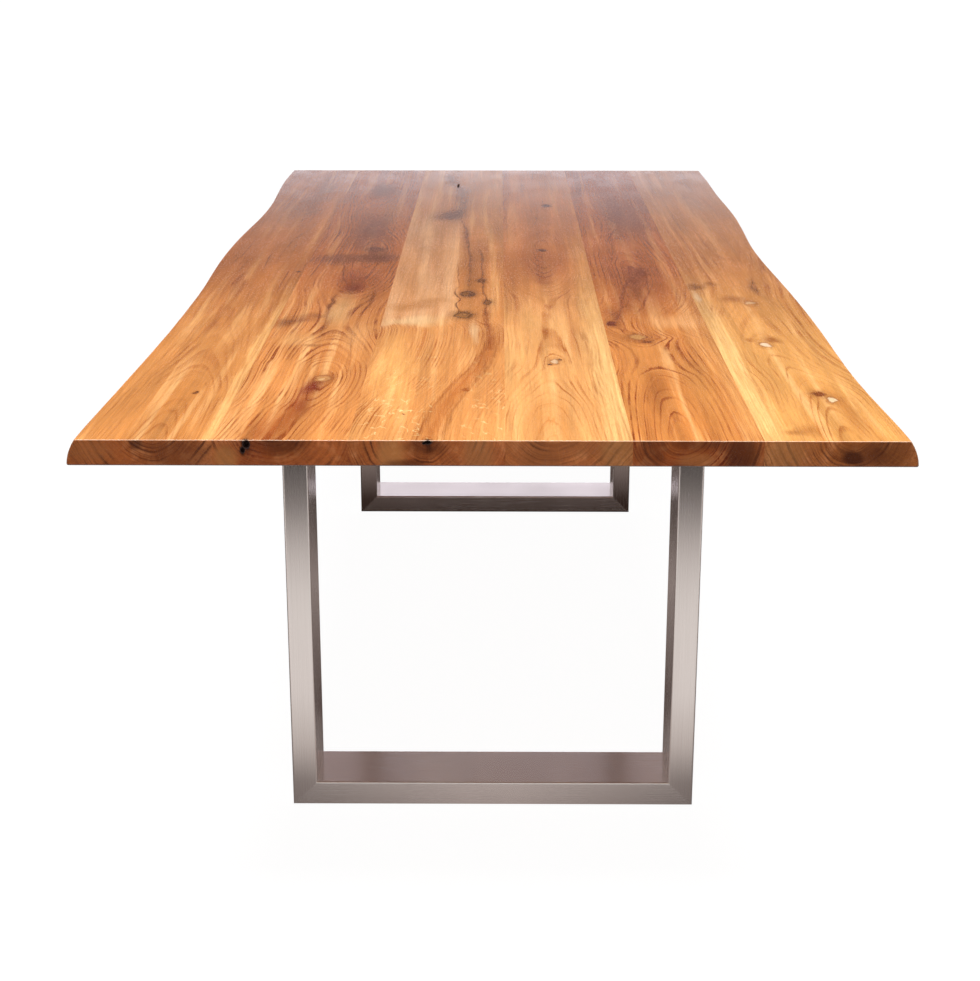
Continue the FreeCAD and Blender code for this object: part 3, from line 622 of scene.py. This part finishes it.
                  ((460, 242), (12, 18), 4, (10, 14), "#7a3a12", "#8a4a1c", 0.6)),
        "stainsAndSheen": (((364, 1012), (18, 26), "#8a4e1e", 0.65), ((392, 1034), (18, 22), "#945828", 0.55),
                   ((420, 905), (32, 40), "#a2602a", 0.65), ((415, 54), (24, 36), "#a05a1e", 0.55),
                   ((394, 44), (16, 20), "#8e5220", 0.5), ((470, 1010), (10, 90), "#7c4a26", 0.65),
                   # the pale patch at 460, 2030 is a painted reflection, not a stain
                   ((358, 932), (7, 52), "#fbdcae", 0.85), ((460, 2030), (26, 180), "#dca878", 0.45),
                   ((440, 578), (16, 26), "#9c5820", 0.8), ((408, 586), (10, 18), "#a86426", 0.7),
                   ((484, 130), (12, 160), "#b06a2c", 0.5)),
        "ends": (((464, 23), (15, 9), "#34120a", 0.85), ((476, 17), (34, 16), "#5a2a14", 0.5),
                 ((512, 18), (34, 30), "#4a2010", 0.5),
                 ((380, 16), (26, 24), "#a8703e", 0.5)),
    },
}


def atY(y):
    return y / 1000 - halfLength


def aroundY(y, spread):
    return [atY(y + s) for s in spread]


def push(tree, texture, reach):
    # a texture's colours as a sideways push, reach in millimetres
    half = calcVector(tree, "SUBTRACT", texture.outputs["Color"], (0.5, 0.5, 0.5))
    return calcVector(tree, "MULTIPLY", half, [r / 1000 for r in reach])


def farFrom(tree, vector, centre, radii):
    # distance from a centre at X, Y and below the top, counted in radii
    x, y, low = centre
    off = calcVector(tree, "SUBTRACT", vector, (x / 1000, atY(y), topLevel - low / 1000))
    off = calcVector(tree, "DIVIDE", off, [r / 1000 for r in radii])
    return calcVector(tree, "LENGTH", off)


def curveAlong(tree, along, path):
    low = min(v for _, v in path)
    span = max(v for _, v in path) - low
    run = addNode(tree, "FloatCurve", {"Value": along})
    points = run.mapping.curves[0].points
    while len(points) < len(path):
        points.new(0.5, 0.5)
    for point, (y, v) in zip(points, path):
        point.location = (y / 2000 / halfLength, (v - low) / span)
    run.mapping.update()
    return calc(tree, "MULTIPLY_ADD", run, span / 1000, low / 1000)


def plankWood(name, look):
    material, tree = newMaterial("oiled oak " + name)
    place = addNode(tree, "TexCoord").outputs["Object"]
    seed = look["seed"]
    # slow drift of the grain from side to side, and a finer lumpiness for knots and stains
    drift = noise(tree, place, oak["driftSize"], (7 * seed, 3 * seed, seed), detail=3, roughness=0.45)
    grain = calcVector(tree, "ADD", place, push(tree, drift, oak["drift"]))
    lump = noise(tree, place, oak["lumpSize"], (seed, 0, 0), detail=4, roughness=0.6)
    patchy = ramp(tree, lump, *oak["patchy"])
    lump = push(tree, lump, oak["lump"])
    lumpy = calcVector(tree, "ADD", grain, lump)
    warp = noise(tree, place, oak["warpSize"], detail=3, roughness=0.6)
    warped = calcVector(tree, "ADD", place, push(tree, warp, oak["warp"]))
    ragged = calcVector(tree, "MULTIPLY_ADD", lump, oak["ragged"], place)
    near = split(tree, ragged)
    spot = split(tree, grain)
    rough = split(tree, lumpy)
    straight = split(tree, place)
    along = ramp(tree, straight["Y"], -halfLength, halfLength)
    across = calc(tree, "SUBTRACT", spot["X"], curveAlong(tree, along, look["pithLine"]))
    down = calc(tree, "SUBTRACT", spot["Z"], topLevel)
    down = calc(tree, "SUBTRACT", down, curveAlong(tree, along, look["pithHeight"]))
    radius = calcVector(tree, "LENGTH", addNode(tree, "CombineXYZ", [across, down]))

    # rings part and close again round each knot
    cores = []
    for (x, y), (wide, long), swell, core, heart, rim, ringed in look["knots"]:
        far = farFrom(tree, warped, (x, y, 0), (wide, long, oak["swellDepth"]))
        far = calc(tree, "EXPONENT", product(tree, far, far, -1))
        radius = calc(tree, "MULTIPLY_ADD", far, -swell / 1000, radius)
        core = farFrom(tree, warped, (x, y, 0), (*core, oak["knotDepth"]))
        cores.append((core, heart, rim, ringed))

    band = noiseAlong(tree, radius, 1000 / oak["bandWidth"], detail=4, roughness=0.62)
    fine = noiseAlong(tree, radius, 1000 * oak["fineRings"] / look["ring"], detail=3, roughness=0.7)
    cloud = noise(tree, grain, oak["cloudSize"], (seed, 5 * seed, seed))
    streak = noise(tree, grain, oak["streakSize"], (seed, seed, seed), detail=3, roughness=0.6)
    stripe = noise(tree, grain, oak["stripeSize"], (2 * seed, seed, seed))
    fibre = noise(tree, grain, oak["fibreSize"], (seed, seed, seed), roughness=0.6)
    pore = noise(tree, grain, oak["poreSize"], (3 * seed, seed, seed), detail=1)
    pore = ramp(tree, pore, *oak["poreShow"])
    ring = product(tree, radius, 1000 / look["ring"])
    ring = calc(tree, "MULTIPLY_ADD", band, oak["ringBand"], ring)
    ring = calc(tree, "MULTIPLY_ADD", streak, oak["ringStreak"], ring)
    ring = calc(tree, "FRACT", ring)
    ring = product(tree, ramp(tree, ring, *oak["ringRise"], smooth=True), ramp(tree, ring, *oak["ringFall"]))
    weight = ramp(tree, cloud, *oak["ringClouds"], *(share * look["rings"] for share in oak["ringShare"]))
    start, end, least = oak["quiet"]
    quiet = product(tree, patchy, ramp(tree, straight["Y"], atY(start), atY(end), 1, least))

    colour = blend(tree, ramp(tree, band, *oak["tone"], smooth=True), look["light"], look["deep"])
    colour = blend(tree, ramp(tree, stripe, *oak["paleStripe"]), colour, oak["pale"])
    colour = blend(tree, product(tree, ring, weight, quiet), colour, look["line"])
    share = ramp(tree, fine, *oak["fineShow"], 0, oak["fineShare"] * look["rings"])
    colour = blend(tree, product(tree, share, quiet), colour, look["line"])

    # pale sapwood beside a seam, ragged along its inner edge
    for x, wide, start, end, tint, strength in look["sap"]:
        off = calc(tree, "ABSOLUTE", calc(tree, "SUBTRACT", rough["X"], x / 1000))
        off = calc(tree, "MULTIPLY_ADD", streak, oak["sapFray"] * wide / 1000, off)
        inner, outer = [edge * wide / 1000 for edge in oak["sapEdge"]]
        share = product(
            tree,
            ramp(tree, off, inner, outer, strength, 0, smooth=True),
            ramp(tree, streak, *oak["sapUneven"]),
            ramp(tree, straight["Y"], *aroundY(start, oak["sapStart"])),
            ramp(tree, straight["Y"], *aroundY(end, oak["sapEnd"]), 1, 0),
        )
        colour = blend(tree, share, colour, tint)
    if "pale" in look:
        # straight-grained pale run that ends on a slant
        left, right, start, end, slant, tint, strength = look["pale"]
        begin = calc(tree, "MULTIPLY_ADD", rough["X"], -slant, rough["Y"])
        share = product(
            tree,
            ramp(tree, stripe, *oak["paleStripes"], strength, oak["paleLeast"]),
            ramp(tree, begin, *aroundY(start - slant * left, oak["paleStart"]), smooth=True),
            ramp(tree, rough["Y"], *aroundY(end, oak["paleEnd"]), 1, 0),
            ramp(tree, spot["X"], *((right + s) / 1000 for s in oak["paleSide"]), 1, 0),
        )
        colour = blend(tree, share, colour, tint)
    # stains, and the painted reflection listed with them
    for (x, y), (wide, long), tint, strength in look["stainsAndSheen"]:
        off = farFrom(tree, lumpy, (x, y, 0), (wide, long, oak["stainDepth"]))
        off = calc(tree, "MULTIPLY_ADD", stripe, oak["stainStripe"], off)
        off = calc(tree, "MULTIPLY_ADD", streak, oak["stainStreak"], off)
        colour = blend(tree, ramp(tree, off, *oak["stainEdge"], strength, 0, smooth=True), colour, tint)
    for path, wide, tint, strength in look.get("strokes", ()):
        # dark lines along the grain, each a path of Y and X
        off = calc(tree, "ABSOLUTE", calc(tree, "SUBTRACT", near["X"], curveAlong(tree, along, path)))
        off = calc(tree, "MULTIPLY_ADD", fibre, oak["strokeFray"] * wide / 1000, off)
        inner, outer = [edge * wide / 1000 for edge in oak["strokeEdge"]]
        share = product(
            tree,
            ramp(tree, off, inner, outer, strength, 0, smooth=True),
            ramp(tree, near["Y"], *aroundY(path[0][0], oak["strokeStart"])),
            ramp(tree, near["Y"], *aroundY(path[-1][0], oak["strokeEnd"]), 1, 0),
        )
        colour = blend(tree, share, colour, tint)
    for left, right, end in look.get("flecks", ()):
        # silvery ray flecks, short wavy ribbons across the grain
        fleck = noise(tree, grain, oak["fleckSize"], detail=1.5)
        line = calc(tree, "ABSOLUTE", calc(tree, "SUBTRACT", fleck, 0.5))
        share = product(
            tree,
            ramp(tree, line, *oak["fleckLine"]),
            ramp(tree, fleck.outputs["Color"], *oak["fleckGap"]),
            ramp(tree, straight["Y"], -halfLength, atY(end), 1, 0, smooth=True),
            ramp(tree, spot["X"], left / 1000, (left + oak["fleckSide"]) / 1000),
            ramp(tree, spot["X"], (right - oak["fleckSide"]) / 1000, right / 1000, 1, 0),
            ramp(tree, straight["Z"], *(topLevel - deep / 1000 for deep in oak["fleckSkin"])),
        )
        colour = blend(tree, share, colour, oak["fleck"])
    for core, heart, rim, ringed in cores:
        # soft halo, then the core, then its dark bark line
        core = calc(tree, "MULTIPLY_ADD", fibre, oak["knotFray"], core)
        share = ramp(tree, core, *oak["halo"], oak["haloShare"] * ringed, 0, smooth=True)
        colour = blend(tree, share, colour, rim)
        colour = blend(tree, ramp(tree, core, *oak["heart"], smooth=True), colour, heart)
        share = product(tree, ramp(tree, core, *oak["rimRise"], 0, ringed), ramp(tree, core, *oak["rimFall"]))
        colour = blend(tree, share, colour, rim)

    shade = product(
        tree,
        ramp(tree, fibre, *oak["fibreShade"]),
        ramp(tree, stripe, *oak["stripeShade"]),
        ramp(tree, cloud, *oak["cloudShade"]),
        ramp(tree, streak, *oak["streakShade"]),
    )
    colour = calcVector(tree, "MULTIPLY", colour, shade)
    # painted shade: from 450 mm back, fully from 1300 mm, the wood is multiplied by each board's darker, redder
    # tint
    share = ramp(tree, straight["Y"], *(atY(y) for y in oak["farShade"]), smooth=True)
    colour = blend(tree, share, colour, look["farShade"], "MULTIPLY")
    colour = blend(tree, product(tree, pore, oak["poreShare"]), colour, oak["pore"])

    # end grain: darker, with pale rays fanning out from the pith
    dark = blend(tree, 1.0, colour, oak["endTint"], "MULTIPLY")
    wobble = calc(tree, "MULTIPLY_ADD", split(tree, lump)["X"], oak["endWobble"], radius)
    bend = noiseAlong(tree, wobble, 1000 * oak["endRings"] / look["ring"], detail=3, roughness=0.6)
    faint = noise(tree, place, oak["faintSize"])
    share = product(tree, ramp(tree, bend, *oak["endLines"]), ramp(tree, faint, *oak["endFaint"]))
    dark = blend(tree, share, dark, oak["endDark"])
    fan = noiseAlong(tree, calc(tree, "ARCTAN2", across, down), 1 / oak["rayStep"])
    dark = blend(tree, ramp(tree, fan, *oak["endRays"]), dark, look["deep"])
    for (x, low), (wide, deep), tint, strength in look["ends"]:
        off = farFrom(tree, ragged, (x, 0, low), (wide, oak["endless"], deep))
        dark = blend(tree, ramp(tree, off, *oak["endBlot"], strength, 0, smooth=True), dark, tint)
    end = calc(tree, "ABSOLUTE", straight["Y"])
    end = ramp(tree, end, *(halfLength - deep / 1000 for deep in oak["endDepth"]))
    colour = blend(tree, end, colour, dark)

    # natural edges are darker and rougher, the underside is left duller
    facing = split(tree, addNode(tree, "NewGeometry").outputs["Normal"])
    edge = ramp(tree, calc(tree, "ABSOLUTE", facing["X"]), *oak["edgeFacing"])
    colour = blend(tree, edge, colour, oak["edge"])
    # end arrises get a painted highlight above and a painted shade below
    front = ramp(tree, calc(tree, "ABSOLUTE", facing["Y"]), *oak["endFacing"])
    for turn, tint in (("arrisHighlightFacing", "arrisHighlight"), ("arrisShadeFacing", "darkHollowAndArrisShade")):
        share = product(tree, ramp(tree, facing["Z"], *oak[turn]), front)
        colour = blend(tree, share, colour, oak[tint])
    hollow = 0.0
    for x, y, low, wide, long, deep in look.get("open", ()):
        # inside an open knot the wood is painted near black
        off = farFrom(tree, place, (x, y, low), (wide, long, deep))
        hollow = calc(tree, "MAXIMUM", hollow, ramp(tree, off, *oak["hollow"]))
    colour = blend(tree, hollow, colour, oak["darkHollowAndArrisShade"])
    under = ramp(tree, facing["Z"], *oak["underFacing"])
    plain = addNode(tree, "HueSaturation", {
        "Color": colour, "Saturation": oak["underHue"], "Value": oak["underTone"],
    })
    colour = blend(tree, under, colour, plain)

    gloss = ramp(tree, fibre, 0, 1, *oak["roughness"])
    for part, more in zip((pore, patchy, hollow, edge, under), oak["duller"]):
        gloss = calc(tree, "MULTIPLY_ADD", part, more, gloss)
    relief = calc(tree, "MULTIPLY_ADD", pore, oak["poreDepth"], fibre)
    relief = product(tree, relief, calc(tree, "SUBTRACT", 1, edge))
    closeMaterial(tree, colour, gloss, relief, oak["bump"], IOR=oak["ior"])
    return material


for name, look in boards.items():
    dress([name], plankWood(name, look))
print("boards dressed:", len(boards))

# Open knots in the near ends of two boards and a crack near the far end of one: X from the middle, Y from
# the near end, Z above the floor, and half sizes, in millimetres
knotHoles = {
    "left_plank": (((-316.5, 0, 754), (4.6, 7, 5.4)), ((-321.5, 0, 746.5), (3.0, 5, 4.0))),
    "left_centre_plank": (((-83, 0, 757), (4.6, 6, 2.4)), ((-87.5, 0, 756), (2.4, 4, 1.6)),
                          ((-93, 2310, 760), (2.6, 34, 2.4))),
}
cutting = {"weld": 1e-6, "fineness": 3, "ragged": 0.0004, "firstSeed": 3, "smoothBelow": 30, "evenWeight": 100}


def pickOnly(thing):
    bpy.ops.object.select_all(action="DESELECT")
    thing.select_set(True)
    bpy.context.view_layer.objects.active = thing


def cutKnots(name, holes):
    pickOnly(nodes[name])
    bpy.ops.object.duplicate()
    board = bpy.context.object
    board.name = name + "_with_knots"
    bpy.ops.object.mode_set(mode="EDIT")
    bpy.ops.mesh.select_all(action="SELECT")
    bpy.ops.mesh.remove_doubles(threshold=cutting["weld"])
    bpy.ops.object.mode_set(mode="OBJECT")
    for count, ((x, y, z), radii) in enumerate(holes):
        bpy.ops.object.select_all(action="DESELECT")
        bpy.ops.mesh.primitive_ico_sphere_add(
            subdivisions=cutting["fineness"], radius=1, location=(x / 1000, atY(y), z / 1000),
            scale=[r / 1000 for r in radii],
        )
        cutter = bpy.context.object
        bpy.ops.object.mode_set(mode="EDIT")
        bpy.ops.transform.vertex_random(offset=cutting["ragged"], normal=1, seed=count + cutting["firstSeed"])
        bpy.ops.object.mode_set(mode="OBJECT")
        pickOnly(board)
        cut = board.modifiers.new("knot", "BOOLEAN")
        cut.operation = "DIFFERENCE"
        cut.solver = "EXACT"
        cut.object = cutter
        bpy.ops.object.modifier_apply(modifier=cut.name)
        bpy.data.objects.remove(cutter)
    bpy.ops.object.shade_smooth_by_angle(angle=math.radians(cutting["smoothBelow"]))
    even = board.modifiers.new("even", "WEIGHTED_NORMAL")
    even.weight = cutting["evenWeight"]
    even.keep_sharp = True
    bpy.ops.object.modifier_apply(modifier=even.name)
    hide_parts(name)
    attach(board, "table")


for name, holes in knotHoles.items():
    cutKnots(name, holes)
print("open knots cut:", len(knotHoles))

# Metals that show from below: hot-rolled plate with blue-grey scale and rubbed patches, bright zinc plating
# with a faint spangle on the screws and feet, turned brass in the wood. Sizes in millimetres.
finishes = {
    "raw steel with mill scale": {
        "light": "#77726e", "dark": "#3d3c3f", "patch": 22, "speck": 1.1,
        "roughness": (0.36, 0.62), "bump": (0.5, 0.00004),
        "on": ("front_mounting_plate", "rear_mounting_plate", "front_stiffener_bar", "middle_stiffener_bar",
               "rear_stiffener_bar"),
    },
    "bright zinc plating": {
        "light": "#dcdedd", "dark": "#a6abae", "patch": 4, "speck": 0.6,
        "roughness": (0.2, 0.38), "bump": (0.5, 0.00002),
        "on": [n for n in nodes if n.endswith(("_bolts", "_washers", "_screws", "_bushes", "_stud"))],
    },
    "turned brass": {
        "light": "#d9b061", "dark": "#a67c34", "patch": 6, "speck": 0.5,
        "roughness": (0.22, 0.4), "bump": (0.5, 0.00002),
        "on": ("front_plate_inserts", "rear_plate_inserts"),
    },
}
mottle = {"swirl": 0.6, "specks": 0.45, "darker": (0.5, 0.95), "relief": 0.6}


def metalFinish(name, look):
    material, tree = newMaterial(name)
    place = addNode(tree, "TexCoord").outputs["Object"]
    patch = noise(tree, place, look["patch"], detail=4, distortion=mottle["swirl"])
    speck = noise(tree, place, look["speck"])
    share = calc(tree, "MULTIPLY_ADD", speck, mottle["specks"], patch)
    share = ramp(tree, share, *mottle["darker"], smooth=True)
    colour = blend(tree, share, look["light"], look["dark"])
    gloss = ramp(tree, share, 0, 1, *look["roughness"])
    relief = calc(tree, "MULTIPLY_ADD", patch, mottle["relief"], speck)
    closeMaterial(tree, colour, gloss, relief, look["bump"], Metallic=1)
    dress(look["on"], material)


for name, look in finishes.items():
    metalFinish(name, look)

# Moulded nylon foot: near black, finely pitted by the mould, scuffed paler in places
nylon = {
    "dark": "#1f1e1d", "worn": "#4a4845", "pit": 0.7, "scuff": 5, "scuffed": (0.5, 0.8, 0, 0.6),
    "roughness": (0.42, 0.62), "bump": (0.5, 0.00005), "ior": 1.5,
}
material, tree = newMaterial("moulded black nylon")
place = addNode(tree, "TexCoord").outputs["Object"]
pit = noise(tree, place, nylon["pit"])
scuff = noise(tree, place, nylon["scuff"], detail=5, roughness=0.7)
colour = blend(tree, ramp(tree, scuff, *nylon["scuffed"]), nylon["dark"], nylon["worn"])
gloss = ramp(tree, pit, 0, 1, *nylon["roughness"])
closeMaterial(tree, colour, gloss, pit, nylon["bump"], IOR=nylon["ior"])
dress([n for n in nodes if n.endswith("_glide_pad")], material)

# Planed beech for the loose tenons: pale pink, close-grained, with short brown ray flecks
beech = {
    "light": "#e3bf93", "deep": "#cf9f6e", "fleck": "#a5713f",
    "grainSize": (30, 3, 3), "fleckSize": (4, 0.7, 0.7), "flecked": (0.62, 0.7, 0, 0.7),
    "roughness": (0.5, 0.65), "bump": (0.4, 0.0001), "ior": 1.5,
}
material, tree = newMaterial("planed beech")
place = addNode(tree, "TexCoord").outputs["Object"]
grain = noise(tree, place, beech["grainSize"], detail=3)
fleck = noise(tree, place, beech["fleckSize"], detail=1)
colour = blend(tree, grain, beech["light"], beech["deep"])
colour = blend(tree, ramp(tree, fleck, *beech["flecked"]), colour, beech["fleck"])
gloss = ramp(tree, fleck, 0, 1, *beech["roughness"])
closeMaterial(tree, colour, gloss, grain, beech["bump"], IOR=beech["ior"])
dress([n for n in nodes if n.endswith("_tenons")], material)
print("fittings dressed")
